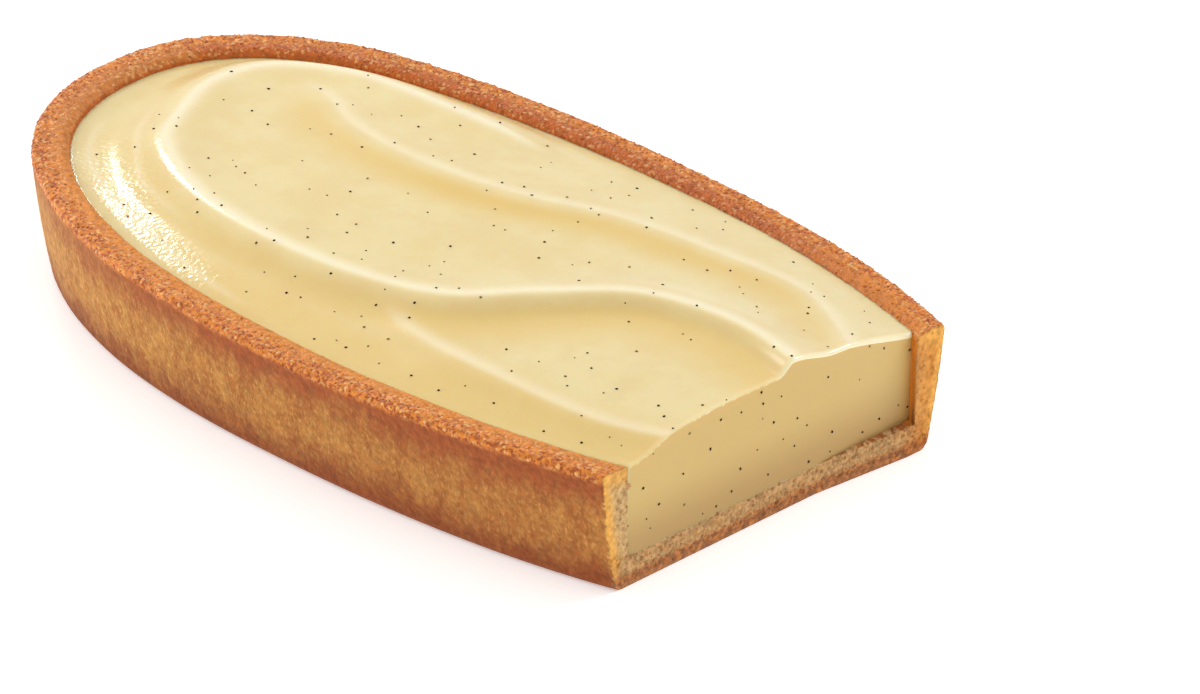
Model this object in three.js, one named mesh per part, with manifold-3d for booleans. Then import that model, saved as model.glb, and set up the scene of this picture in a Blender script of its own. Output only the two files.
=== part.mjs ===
// Cream tart: an oval shortcrust shell filled with swirled vanilla cream, with one end cut away.
// Millimetres, +Z up. X runs from the rounded end (-X) to the flat cut face (+X).
// The origin is at the middle of the underside.

import * as THREE from 'three';
import { ParametricGeometry } from 'three/addons/geometries/ParametricGeometry.js';
import { mergeVertices } from 'three/addons/utils/BufferGeometryUtils.js';
import Module from 'manifold-3d';

// The whole oval, measured from where it is widest, and where the knife goes through it
const ROUND_END = 75.2;
const CUT_AWAY_END = 103.7;
const TART_WIDTH = 88.4;
const OVAL_POWER = 2.23; // 2 is a plain ellipse, more is fuller at the shoulders
const CUT = 66.4;

// The pastry shell
const WALL_HEIGHT = 20.1;
const WALL_THICKNESS = 5.8;
const WALL_LEAN = 2.9; // each side is this much further in at the foot
const BASE_THICKNESS = 5;
const RIM_ROUND_OUTER = 0.9;
const RIM_ROUND_INNER = 1.4;
const FOOT_ROUND = 1.6;
const RIM_RISE = 0.8; // the rim rises this much towards the cut's corner on the -Y side
const CRUST_WAVE = 0.18; // unevenness of the wall and the rim, pressed in by hand
const BROKEN_OUT = 1.75; // the crust stands out this far past the cut face at the cut's +Y end
const BROKEN_FROM = [10, 28]; // distance from the middle line where it starts to, and where it does in full

// Where the wall is pressed in, or bulges out where the depth is negative: share of the way round, and size
const PRESSED_PLACES = [
  { at: 0.289, depth: 2.3, width: 0.119 },
  { at: 0.438, depth: -1.3, width: 0.124 },
];

// The cream: how far it stays below the rim, how high it domes, and its swirls
const FIT_GAP = 0.3;
const DROP_AT_ROUND_END = 1.6;
const DROP_AT_CUT = 0.4;
const DROP_CURVE = 0.35; // below 1 the cream rises fastest close to the cut
const DOME_RISE = 4.5;
const SWIRL_LIP_POWER = 2; // above 1 the crest is rounded over
const SWIRL_TROUGH = 0.4; // depth of the trough under the lip, as a share of the swirl's height
const SWIRL_TROUGH_END = [6, 20]; // where the trough starts and ends to rise again
const SWIRL_BACK_LENGTH = 6; // the gentle slope behind the crest
const SWIRL_FADE = 14; // length over which a swirl starts and ends
const SWIRL_FREE_OF_WALL = 0.06; // share of the half width where swirls die out at the wall

// Each swirl is a spatula stroke. Its crest line goes through the places given, with the lip on its right.
// The height of the crest and the length of the slope under the lip change evenly from start to end.
const SWIRLS = [
  {
    height: [1.1, 1.55],
    lip: [6, 1.5],
    crest: [
      [-6.6, 30.1], [-28.6, 28.9], [-47.6, 26.6], [-58.1, 19.1], [-60.1, 8.1], [-55.6, -3.4], [-50.9, -11],
      [-34.6, -19.9], [-17.6, -22.5], [0.4, -21.5], [15.4, -16.9], [25.4, -7.2], [36.4, 3.2],
      [51.8, 7], [66.4, 4.7], [84.4, -0.9],
    ],
  },
  {
    height: [0.35, 0.42],
    lip: [4, 2.8],
    crest: [
      [-53.6, 18.9], [-44, 17.4], [-34.2, 12.6], [-19.4, 10.7], [-1.6, 13.6], [15, 20.9], [31.4, 24.2],
      [47, 26], [56, 22.8], [66.4, 17], [84.4, 11.1],
    ],
  },
  {
    height: [0.4, 0.5],
    lip: [3.2, 2],
    crest: [[5.4, -22.4], [14.4, -25.3], [35.4, -26.6], [55.4, -25.4], [66.4, -22.2], [84.4, -15.9]],
  },
  {
    height: [0.26, 0.2],
    lip: [2.2, 2.2],
    crest: [
      [-66.6, -5.9], [-62, -15.7], [-55.4, -22.2], [-46, -26.4], [-33.3, -30.8], [-21, -34.2], [-8, -35.8],
    ],
  },
  {
    height: [0.22, 0.2],
    lip: [2.2, 2.2],
    crest: [[-62.8, 0.5], [-57.4, -10.2], [-52.8, -15.2], [-46.5, -20.6], [-41.1, -23], [-30, -26]],
  },
];

// How finely the surfaces are divided
const STEPS_AROUND = 156;
const CREAM_RINGS = 20;
const PROFILE_DIVISIONS = 2;
const CREST_DIVISIONS = 160;
const MERGE_DISTANCE = 1e-4;

// Sizes that follow
const HALF_WIDTH = TART_WIDTH / 2;
const INNER_ROUND_END = ROUND_END - WALL_THICKNESS;
const RIM_INNER_START = WALL_HEIGHT - RIM_ROUND_INNER;
const ORIGIN_SHIFT = (ROUND_END - CUT) / 2; // brings the middle of the part to the origin
const REACH = 2 * CUT_AWAY_END; // well past everything

const wasm = await Module();
wasm.setup();

// The oval as a closed curve, the given distance inside the outline. t goes once round, from the +X end.
class Oval extends THREE.Curve {
  constructor(inset = 0) {
    super();
    this.inset = inset;
    this.arcLengthDivisions = 800;
  }

  getPoint(t, target = new THREE.Vector2()) {
    const cos = Math.cos(t * 2 * Math.PI);
    const sin = Math.sin(t * 2 * Math.PI);
    const reach = (value) => Math.sign(value) * Math.pow(Math.abs(value), 2 / OVAL_POWER);
    const end = cos < 0 ? ROUND_END : CUT_AWAY_END;
    return target.set((end - this.inset) * reach(cos), (HALF_WIDTH - this.inset) * reach(sin));
  }
}

const OUTLINE = new Oval();

// How far the outline is pressed in at t.
function pressedIn(t) {
  return PRESSED_PLACES.reduce((sum, { at, depth, width }) => {
    const away = (t - at) / width;
    return sum + depth * Math.pow(Math.max(1 - away * away, 0), 3);
  }, 0);
}

// The same for a ring inside the outline, less the nearer it is to the middle.
function pressedInset(t, inset) {
  return inset + pressedIn(t) * (1 - inset / HALF_WIDTH);
}

// A point that lies the given distance inside the outline. At the half width the ring closes to a line.
function pointInside(t, inset) {
  return new Oval(pressedInset(t, inset)).getPoint(t);
}

// Even steps round the outline, the same on both sides so that the two meet along the middle line.
function evenStep(around) {
  const share = around % 1;
  return share <= 0.5 ? OUTLINE.getUtoTmapping(share) : 1 - OUTLINE.getUtoTmapping(1 - share);
}

// A closed skin round the oval: rows of points, placed by a function of the row's number and t.
function ovalSkin(rowCount, place) {
  const lastRow = rowCount - 1;
  const surface = (around, across, target) => {
    target.copy(place(Math.round(across * lastRow), evenStep(around)));
  };
  return new ParametricGeometry(surface, STEPS_AROUND, lastRow);
}

// Levels follow the rise of the rim, more the higher they are, so that the underside stays flat.
function risen(level, x, y) {
  const towardsCut = THREE.MathUtils.smoothstep(x, 0, CUT);
  const towardsSide = THREE.MathUtils.smoothstep(-y / HALF_WIDTH, 0, 0.8);
  return level * (1 + (RIM_RISE / WALL_HEIGHT) * towardsCut * towardsSide);
}

// A wave that closes on itself round the oval, between about -1 and 1.
function crustWave(t, phase) {
  const turn = t * 2 * Math.PI;
  return 0.5 * Math.sin(5 * turn + phase) + 0.3 * Math.sin(11 * turn + 2 * phase) + 0.2 * Math.sin(23 * turn);
}

// The shell's section, as distance in from the outline and height: underside, wall, rim, inner wall, floor.
function shellSection() {
  const path = new THREE.Path();
  path.moveTo(HALF_WIDTH, 0);
  path.lineTo(WALL_LEAN + FOOT_ROUND, 0);
  path.absarc(WALL_LEAN + FOOT_ROUND, FOOT_ROUND, FOOT_ROUND, -Math.PI / 2, -Math.PI, true);
  path.quadraticCurveTo(WALL_LEAN / 3, WALL_HEIGHT / 2, 0, WALL_HEIGHT - RIM_ROUND_OUTER);
  path.absarc(RIM_ROUND_OUTER, WALL_HEIGHT - RIM_ROUND_OUTER, RIM_ROUND_OUTER, Math.PI, Math.PI / 2, true);
  path.absarc(WALL_THICKNESS - RIM_ROUND_INNER, RIM_INNER_START, RIM_ROUND_INNER, Math.PI / 2, 0, true);
  path.lineTo(WALL_THICKNESS, BASE_THICKNESS);
  path.lineTo(HALF_WIDTH, BASE_THICKNESS);
  return path.getPoints(PROFILE_DIVISIONS);
}

function shellSkin() {
  const section = shellSection();
  return ovalSkin(section.length, (row, t) => {
    const { x: inset, y: level } = section[row];
    const outward = THREE.MathUtils.clamp(1 - inset / WALL_THICKNESS, 0, 1);
    const upward = THREE.MathUtils.smoothstep(level, WALL_HEIGHT / 2, WALL_HEIGHT);
    const lift = CRUST_WAVE * upward * crustWave(t, 4);
    const flat = pointInside(t, inset + outward * CRUST_WAVE * crustWave(t, 1));
    return new THREE.Vector3(flat.x, flat.y, risen(level + lift, flat.x, flat.y));
  });
}

// Where the cream meets the wall: just below the rim at the cut, further below it at the rounded end.
function contactLevel(x) {
  const along = THREE.MathUtils.clamp((x + INNER_ROUND_END) / (INNER_ROUND_END + CUT), 0, 1);
  const drop = DROP_AT_CUT + (DROP_AT_ROUND_END - DROP_AT_CUT) * Math.pow(1 - along, DROP_CURVE);
  return WALL_HEIGHT - drop;
}

// The value of t towards which a point lies, seen from the middle of the oval.
function shareRound(x, y) {
  const along = Math.abs(x) / (x < 0 ? ROUND_END : CUT_AWAY_END);
  const across = Math.abs(y) / HALF_WIDTH;
  const reach = (value, sign) => Math.sign(sign) * Math.pow(value, OVAL_POWER / 2);
  return THREE.MathUtils.euclideanModulo(Math.atan2(reach(across, y), reach(along, x)) / (2 * Math.PI), 1);
}

// 0 along the middle of the cream and 1 at the wall. Past the widest place only the way across counts.
function shareToWall(x, y) {
  const inset = pressedInset(shareRound(x, y), WALL_THICKNESS);
  const end = (x < 0 ? ROUND_END : CUT_AWAY_END) - inset;
  const alongShare = Math.pow(Math.min(Math.abs(x) / end, 1), OVAL_POWER);
  const acrossShare = Math.pow(Math.abs(y) / (HALF_WIDTH - inset), OVAL_POWER);
  if (x < 0) {
    return Math.pow(alongShare + acrossShare, 1 / OVAL_POWER);
  }
  return Math.pow(acrossShare / Math.max(1 - alongShare, 1e-6), 1 / OVAL_POWER);
}

const CRESTS = SWIRLS.map(({ height, lip, crest }) => {
  const curve = new THREE.CatmullRomCurve3(crest.map(([x, y]) => new THREE.Vector3(x, y, 0)));
  return { height, lip, length: curve.getLength(), points: curve.getSpacedPoints(CREST_DIVISIONS) };
});

// The section across a swirl of unit height, by the distance to the right of its crest line.
function swirlSection(right, lipLength) {
  if (right < 0) {
    return Math.exp(-Math.pow(-right / SWIRL_BACK_LENGTH, SWIRL_LIP_POWER));
  }
  const lip = Math.exp(-Math.pow(right / lipLength, SWIRL_LIP_POWER));
  const trough = SWIRL_TROUGH * (1 - THREE.MathUtils.smoothstep(right, ...SWIRL_TROUGH_END));
  return lip - trough * (1 - lip);
}

function swirlHeight({ height, lip, length, points }, x, y) {
  let nearest = 0;
  let distance = Infinity;
  points.forEach((point, index) => {
    const away = Math.hypot(x - point.x, y - point.y);
    if (away < distance) {
      distance = away;
      nearest = index;
    }
  });
  const before = points[Math.max(nearest - 1, 0)];
  const after = points[Math.min(nearest + 1, CREST_DIVISIONS)];
  const side = (x - before.x) * (after.y - before.y) - (y - before.y) * (after.x - before.x);
  const along = nearest / CREST_DIVISIONS;
  const fadeIn = THREE.MathUtils.smoothstep(length * along, 0, SWIRL_FADE);
  const fadeOut = THREE.MathUtils.smoothstep(length * (1 - along), 0, SWIRL_FADE);
  const section = swirlSection(distance * Math.sign(side), THREE.MathUtils.lerp(...lip, along));
  return THREE.MathUtils.lerp(...height, along) * fadeIn * fadeOut * section;
}

function creamHeight(x, y) {
  const share = Math.min(shareToWall(x, y), 1);
  const dome = DOME_RISE * (1 - share * share);
  const freeOfWall = THREE.MathUtils.smoothstep(1 - share, 0, SWIRL_FREE_OF_WALL);
  const swirls = CRESTS.reduce((sum, crest) => sum + swirlHeight(crest, x, y), 0);
  return risen(contactLevel(x), x, y) + dome + freeOfWall * swirls;
}

// The cream's edge follows the rounded inside of the rim, a small gap away from it.
function creamEdgeInset(x) {
  const intoRound = Math.max(contactLevel(x) - RIM_INNER_START, 0);
  const roundReach = Math.sqrt(RIM_ROUND_INNER ** 2 - intoRound ** 2);
  return WALL_THICKNESS - RIM_ROUND_INNER + roundReach + FIT_GAP;
}

// Rows: the middle of the cream's underside, its lower edge, its upper edge, then rings in to the middle.
function creamSkin() {
  const lowerEdge = 1;
  const upperEdge = 3;
  const floor = BASE_THICKNESS + FIT_GAP;
  return ovalSkin(upperEdge + CREAM_RINGS + 1, (row, t) => {
    const wallInset = WALL_THICKNESS + FIT_GAP;
    const besideWall = pointInside(t, wallInset);
    if (row <= lowerEdge) {
      const flat = row < lowerEdge ? pointInside(t, HALF_WIDTH) : besideWall;
      return new THREE.Vector3(flat.x, flat.y, risen(floor, flat.x, flat.y));
    }
    if (row < upperEdge) {
      const level = Math.min(contactLevel(besideWall.x), RIM_INNER_START) - FIT_GAP;
      return new THREE.Vector3(besideWall.x, besideWall.y, risen(level, besideWall.x, besideWall.y));
    }
    const edgeInset = creamEdgeInset(besideWall.x);
    const inward = (row - upperEdge) / CREAM_RINGS;
    const flat = pointInside(t, THREE.MathUtils.lerp(edgeInset, HALF_WIDTH, inward));
    return new THREE.Vector3(flat.x, flat.y, creamHeight(flat.x, flat.y));
  });
}

// A closed geometry as a solid that can be cut.
function solidFrom(geometry) {
  geometry.deleteAttribute('normal');
  geometry.deleteAttribute('uv');
  const merged = mergeVertices(geometry, MERGE_DISTANCE);
  return new wasm.Manifold(
    new wasm.Mesh({
      numProp: 3,
      vertProperties: merged.attributes.position.array,
      triVerts: new Uint32Array(merged.index.array),
    })
  );
}

// Everything past the cut. The cut's line goes from the +Y side to the -Y side.
function pastCut(line) {
  const corners = [[REACH, REACH], ...line, [REACH, -REACH]];
  const outline = new THREE.Shape(corners.map(([x, y]) => new THREE.Vector2(x, y)));
  const block = new THREE.ExtrudeGeometry(outline, { depth: REACH, bevelEnabled: false });
  block.translate(0, 0, -REACH / 2);
  return solidFrom(block);
}

function namedMesh(name, solid, material) {
  const { vertProperties, triVerts } = solid.getMesh();
  const geometry = new THREE.BufferGeometry();
  geometry.setAttribute('position', new THREE.BufferAttribute(vertProperties, 3));
  geometry.setIndex(new THREE.BufferAttribute(triVerts, 1));
  geometry.computeVertexNormals();
  const mesh = new THREE.Mesh(geometry, material);
  mesh.name = name;
  return mesh;
}

const crust = new THREE.MeshStandardMaterial({ color: 0xc4874a, roughness: 0.85, metalness: 0 });
const cream = new THREE.MeshStandardMaterial({ color: 0xf2dfa8, roughness: 0.35, metalness: 0 });

const creamCut = pastCut([[CUT, REACH], [CUT, -REACH]]);
const crustCut = pastCut([
  [CUT + BROKEN_OUT, REACH], [CUT + BROKEN_OUT, BROKEN_FROM[1]], [CUT, BROKEN_FROM[0]], [CUT, -REACH],
]);
const tart = new THREE.Group();
tart.name = 'cream_tart';
tart.add(namedMesh('pastry_shell', solidFrom(shellSkin()).subtract(crustCut), crust));
tart.add(namedMesh('vanilla_cream', solidFrom(creamSkin()).subtract(creamCut), cream));
tart.position.x = ORIGIN_SHIFT;

export default tart;
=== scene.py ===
"""The looks of a cream tart: an oval shortcrust shell, filled with swirled vanilla cream and cut across.

Sizes are millimetres, measured from the widest place of the whole oval, until a mesh is made.
Meshes are in metres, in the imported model's own frame.
"""

import logging
import math
from collections.abc import Callable
from dataclasses import dataclass, replace
from enum import Enum
from typing import Any

import bmesh
import bpy
import numpy as np
from mathutils import Matrix, Vector
from mathutils.geometry import delaunay_2d_cdt


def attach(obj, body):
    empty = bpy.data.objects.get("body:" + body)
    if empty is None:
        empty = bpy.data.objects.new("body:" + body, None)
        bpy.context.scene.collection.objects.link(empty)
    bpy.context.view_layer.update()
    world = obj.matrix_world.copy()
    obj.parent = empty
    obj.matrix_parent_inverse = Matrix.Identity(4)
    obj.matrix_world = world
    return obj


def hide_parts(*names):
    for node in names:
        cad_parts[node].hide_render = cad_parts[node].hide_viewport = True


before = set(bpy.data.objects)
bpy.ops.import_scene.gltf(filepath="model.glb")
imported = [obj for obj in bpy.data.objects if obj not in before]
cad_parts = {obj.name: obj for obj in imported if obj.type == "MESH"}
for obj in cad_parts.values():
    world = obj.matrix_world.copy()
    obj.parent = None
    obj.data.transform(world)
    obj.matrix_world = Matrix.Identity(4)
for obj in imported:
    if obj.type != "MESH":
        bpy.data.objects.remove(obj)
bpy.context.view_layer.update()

Array = np.ndarray
Triple = tuple[float, float, float]
Colour = Triple
Pair = tuple[float, float]
Sockets = dict[str, str]
Object = bpy.types.Object
Material = bpy.types.Material
Node = bpy.types.Node
Socket = bpy.types.NodeSocket

MM = 0.001
WELD = 2e-6
BLOCK = 2000
TRIANGLES_INSIDE = 1
SAME_POINT = 1e-6
WHITE = (1.0, 1.0, 1.0, 1.0)
ROOT = "root"
log = logging.getLogger("cream_tart")


class Facets(Enum):
    """How the faces of a scattered piece are shaded."""

    SHARP = False
    ROUND = True


class Drawn(Enum):
    """How the flat drawing of a surface is seen. The value is the axis that the drawing lacks."""

    ON_CUT = 0
    FROM_ABOVE = 2


class Weight(Enum):
    """Values that a surface carries at each point, for its finish and for what is scattered on it."""

    RELIEF = "relief"
    RIM = "rim"
    # Inside: the inner wall, and a band of painted shade on the far side's rim.
    INSIDE = "inside"
    CUT = "cut"
    STRIP = "strip"
    BROWNED = "browned"
    SCATTER = "scatter"
    # Tone: random on strewn grains and seeds; on the crust the grain's height, from which shade is painted in
    # its hollows; on the cream painted shade.
    TONE = "tone"
    # Crest: painted highlight along the cream's crests and the cut's top edge.
    CREST = "crest"


Weights = dict[Weight, Array | float]


def shade(red: float, green: float, blue: float) -> Colour:
    """Turns a colour as seen on a screen, each share from 0 to 255, into a linear one for a shader."""
    shares = [value / 255 for value in (red, green, blue)]
    return tuple(s / 12.92 if s <= 0.04045 else ((s + 0.055) / 1.055) ** 2.4 for s in shares)


def smoothstep(value: Array, low: float, high: float) -> Array:
    """Rises smoothly from 0 at low to 1 at high."""
    share = np.clip((value - low) / (high - low), 0, 1)
    return share * share * (3 - 2 * share)


def walked(path: Array) -> Array:
    """Length of the way along a path to each of its points."""
    return np.concatenate([[0], np.cumsum(np.linalg.norm(np.diff(path, axis=0), axis=1))])


def arc(centre: Pair, radius: float, start: float, end: float, step: float) -> Array:
    """Points along an arc, without its last one.

    Args:
        centre: Centre of the arc.
        radius: Its radius.
        start: Angle that it starts at, in radians.
        end: Angle that it ends at.
        step: Distance between points.

    Returns:
        The points, one a row.
    """
    count = max(round(radius * abs(end - start) / step), 2)
    angle = np.linspace(start, end, count, endpoint=False)
    return np.array(centre) + radius * np.stack([np.cos(angle), np.sin(angle)], axis=1)


def line(start: Pair, end: Pair, step: float, bend: Pair | None = None) -> Array:
    """Points along a line, without its last one.

    Args:
        start: First end.
        end: Second end.
        step: Distance between points.
        bend: Control point that bends it to a parabola.

    Returns:
        The points, one a row.
    """
    first, last = np.array(start), np.array(end)
    middle = (first + last) / 2 if bend is None else np.array(bend)
    count = max(round(math.dist(start, end) / step), 1)
    share = np.linspace(0, 1, count, endpoint=False)[:, None]
    return (1 - share) ** 2 * first + 2 * share * (1 - share) * middle + share**2 * last


def points_within(outline: Array, step: float, clear_steps: float = 0.5) -> Array:
    """Points of an even triangular lattice inside a closed outline.

    Args:
        outline: Corners of the outline in order, one a row.
        step: Distance between lattice points.
        clear_steps: How far they stay from the corners, in steps.

    Returns:
        The points, one a row.
    """
    low, high = outline.min(axis=0), outline.max(axis=0)
    rows = np.arange(low[1], high[1], step * math.sqrt(3) / 2)
    across, along = np.meshgrid(np.arange(low[0], high[0], step), rows)
    across[1::2] += step / 2
    points = np.stack([across.ravel(), along.ravel()], axis=1)
    ahead = np.roll(outline, -1, axis=0)
    rise = np.where(ahead[:, 1] == outline[:, 1], 1, ahead[:, 1] - outline[:, 1])
    found = []
    for part in np.array_split(points, max(len(points) // BLOCK, 1)):
        x, y = part[:, :1], part[:, 1:]
        straddles = (outline[:, 1] > y) != (ahead[:, 1] > y)
        crossing = outline[:, 0] + (y - outline[:, 1]) / rise * (ahead[:, 0] - outline[:, 0])
        inside = np.sum(straddles & (x < crossing), axis=1) % 2 == 1
        nearest = np.min(np.hypot(x - outline[:, 0], y - outline[:, 1]), axis=1)
        found.append(part[inside & (nearest > clear_steps * step)])
    return np.concatenate(found)


def smooth_line(places: tuple[Pair, ...], count: int) -> Array:
    """Evenly spaced points on a smooth curve through the places given.

    Args:
        places: Places that the curve goes through.
        count: Number of points.

    Returns:
        The points, one a row.
    """
    given = np.array(places)
    padded = np.vstack([2 * given[0] - given[1], given, 2 * given[-1] - given[-2]])
    knots = np.concatenate([[0], np.cumsum(np.linalg.norm(np.diff(padded, axis=0), axis=1) ** 0.5)])
    dense = []
    for first in range(len(given) - 1):
        knot = knots[first : first + 4]
        at = np.linspace(knot[1], knot[2], count // 4)[:, None]

        def between(left: Array, right: Array, start: float, end: float) -> Array:
            """Goes from the left value at start to the right one at end."""
            return ((end - at) * left + (at - start) * right) / (end - start)

        part = padded[first : first + 4]
        lines = [between(part[k], part[k + 1], knot[k], knot[k + 1]) for k in range(3)]
        bends = [between(lines[k], lines[k + 1], knot[k], knot[k + 2]) for k in range(2)]
        dense.append(between(*bends, knot[1], knot[2]))
    path = np.concatenate(dense)
    way = walked(path)
    even = np.linspace(0, way[-1], count)
    return np.stack([np.interp(even, way, path[:, axis]) for axis in (0, 1)], axis=1)


def linked(name: str, mesh: bpy.types.Mesh) -> Object:
    """Puts a mesh into the scene as an object at the origin."""
    piece = bpy.data.objects.new(name, mesh)
    bpy.context.scene.collection.objects.link(piece)
    return piece


class Skin:
    """Surfaces gathered to become one closed mesh, with weights at each point."""

    def __init__(self, weights: tuple[Weight, ...]) -> None:
        """Starts with no surface.

        Args:
            weights: Weights that the mesh will carry.
        """
        self.points: list[Array] = []
        self.faces: list[list[int]] = []
        self.values: dict[Weight, list[Array]] = {weight: [] for weight in weights}
        self.count = 0

    def _keep(self, points: Array, weights: Weights) -> int:
        """Adds points.

        Args:
            points: The points, one a row.
            weights: Their weights that aren't 0.

        Returns:
            The number of the first point added.
        """
        start = self.count
        self.points.append(points)
        self.count += len(points)
        for weight, values in self.values.items():
            values.append(np.broadcast_to(weights.get(weight, 0.0), len(points)))
        return start

    def grid(self, points: Array, weights: Weights) -> None:
        """Adds a surface of rows and columns.

        Args:
            points: Points by row, column and axis.
            weights: Weights by row and column.
        """
        shape = points.shape[:2]
        flat = {weight: np.broadcast_to(value, shape).ravel() for weight, value in weights.items()}
        numbers = self._keep(points.reshape(-1, 3), flat) + np.arange(math.prod(shape)).reshape(shape)
        corners = (numbers[:-1, :-1], numbers[:-1, 1:], numbers[1:, 1:], numbers[1:, :-1])
        self.faces.extend(np.stack([corner.ravel() for corner in corners], axis=1).tolist())

    def fill(
        self,
        drawn: Drawn,
        outline: Array,
        within: Array,
        third: Callable[[Array], Array | float],
        weigh: Callable[[Array], Weights] = lambda points: {},
    ) -> None:
        """Fills a closed outline with triangles.

        Args:
            drawn: How the flat drawing of the surface is seen.
            outline: Corners of the outline in order, on the drawing.
            within: Further points on the drawing.
            third: Gives the values on the axis that the drawing lacks.
            weigh: Gives the weights of points in space.
        """
        count = len(outline)
        edges = [(number, (number + 1) % count) for number in range(count)]
        corners = [Vector(point) for point in np.concatenate([outline, within])]
        places, _, faces, *_ = delaunay_2d_cdt(corners, edges, [], TRIANGLES_INSIDE, SAME_POINT)
        flat = np.array([tuple(place) for place in places])
        points = np.insert(flat, drawn.value, third(flat), axis=1)
        start = self._keep(points, weigh(points))
        self.faces.extend([start + corner for corner in face] for face in faces)

    def piece(self, name: str, shift: float) -> Object:
        """Welds the surfaces into one closed mesh that faces outwards.

        Args:
            name: Name of the piece.
            shift: Way along X to its place in the frame, in millimetres.

        Returns:
            The new object.
        """
        mesh = bpy.data.meshes.new(name)
        points = np.concatenate(self.points) + (shift, 0, 0)
        mesh.from_pydata((points * MM).tolist(), [], self.faces)
        for weight, parts in self.values.items():
            layer = mesh.attributes.new(weight.value, "FLOAT", "POINT")
            layer.data.foreach_set("value", np.concatenate(parts).astype(np.float32))
        welded = bmesh.new()
        welded.from_mesh(mesh)
        bmesh.ops.remove_doubles(welded, verts=welded.verts, dist=WELD)
        bmesh.ops.recalc_face_normals(welded, faces=welded.faces)
        welded.to_mesh(mesh)
        welded.free()
        mesh.shade_smooth()
        return linked(name, mesh)


class Nodes:
    """A node tree, with short ways to add and join its nodes."""

    def __init__(self, tree: bpy.types.NodeTree) -> None:
        """Takes the tree that the nodes go into."""
        self.tree = tree

    def set(self, node: Node, inputs: dict[str | int, Any]) -> None:
        """Sets inputs of a node.

        Args:
            node: The node.
            inputs: Values or sockets for its inputs, by name or number.
        """
        for key, value in inputs.items():
            if isinstance(value, Socket):
                self.tree.links.new(value, node.inputs[key])
            else:
                node.inputs[key].default_value = value

    def add(self, kind: str, inputs: dict[str | int, Any] | None = None, **settings: Any) -> Node:
        """Adds a node.

        Args:
            kind: Kind of node.
            inputs: Values or sockets for its inputs, by name or number.
            settings: Its other settings.

        Returns:
            The new node.
        """
        node = self.tree.nodes.new(kind)
        for name, value in settings.items():
            setattr(node, name, value)
        self.set(node, inputs or {})
        return node

    def sum(self, operation: str, first: Any, second: Any = 0.0) -> Socket:
        """Works out one sum on numbers."""
        return self.add("ShaderNodeMath", {0: first, 1: second}, operation=operation).outputs[0]

    def vector_sum(self, operation: str, first: Any, second: Any) -> Socket:
        """Works out one sum on vectors. The second value of a SCALE is a number."""
        inputs = {0: first, ("Scale" if operation == "SCALE" else 1): second}
        return self.add("ShaderNodeVectorMath", inputs, operation=operation).outputs[0]

    def axis(self, vector: Socket, number: int) -> Socket:
        """Takes one axis of a vector."""
        return self.add("ShaderNodeSeparateXYZ", {0: vector}).outputs[number]

    def ramp(self, value: Any, low: Any, high: Any, start: float = 0.0, end: float = 1.0) -> Socket:
        """Maps a value smoothly, from start at low to end at high."""
        inputs = {"Value": value, "From Min": low, "From Max": high, "To Min": start, "To Max": end}
        return self.add("ShaderNodeMapRange", inputs, interpolation_type="SMOOTHSTEP").outputs[0]

    def blend(self, share: Any, first: Any, second: Any, how: str = "MIX") -> Socket:
        """Blends two colours, with the given share of the second one."""
        colours = [(*colour, 1.0) if isinstance(colour, tuple) else colour for colour in (first, second)]
        inputs = {0: share, 6: colours[0], 7: colours[1]}
        return self.add("ShaderNodeMix", inputs, data_type="RGBA", blend_type=how).outputs[2]

    def noise(self, vector: Socket, scale: Any, detail: float, roughness: float = 0.5) -> Any:
        """Adds noise with the given number of lumps a metre. Its outputs are a value and a colour."""
        inputs = {"Vector": vector, "Scale": scale, "Detail": detail, "Roughness": roughness}
        return self.add("ShaderNodeTexNoise", inputs).outputs

    def weight(self, weight: Weight) -> Socket:
        """Reads a weight of the surface in a material."""
        return self.add("ShaderNodeAttribute", attribute_name=weight.value).outputs["Fac"]

    def field(self, weight: Weight) -> Socket:
        """Reads a weight of the surface in a geometry tree."""
        inputs = {"Name": weight.value}
        return self.add("GeometryNodeInputNamedAttribute", inputs, data_type="FLOAT").outputs[0]

    def toned(self, geometry: Socket, value: Socket) -> Socket:
        """Keeps a value as the tone of each point, in a geometry tree."""
        inputs = {"Geometry": geometry, "Name": Weight.TONE.value, "Value": value}
        kind = "GeometryNodeStoreNamedAttribute"
        return self.add(kind, inputs, data_type="FLOAT", domain="POINT").outputs[0]

    def moved(self, geometry: Socket, way: Socket, distance: Socket) -> Socket:
        """Moves each point along its own way, in a geometry tree."""
        inputs = {"Geometry": geometry, "Offset": self.vector_sum("SCALE", way, distance)}
        return self.add("GeometryNodeSetPosition", inputs).outputs[0]


def new_tree(name: str, kind: str, inputs: Sockets, outputs: Sockets) -> tuple[Nodes, Any, Node]:
    """Starts a node tree with named sockets.

    Args:
        name: Name of the tree.
        kind: Kind of tree.
        inputs: Socket types of its inputs, by name.
        outputs: Socket types of its outputs, by name.

    Returns:
        The tree's nodes, the sockets that bring its inputs, and its output node.
    """
    tree = bpy.data.node_groups.new(name, kind)
    for direction, sockets in (("INPUT", inputs), ("OUTPUT", outputs)):
        for socket, socket_type in sockets.items():
            tree.interface.new_socket(socket, in_out=direction, socket_type="NodeSocket" + socket_type)
    nodes = Nodes(tree)
    return nodes, nodes.add("NodeGroupInput").outputs, nodes.add("NodeGroupOutput")


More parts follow.
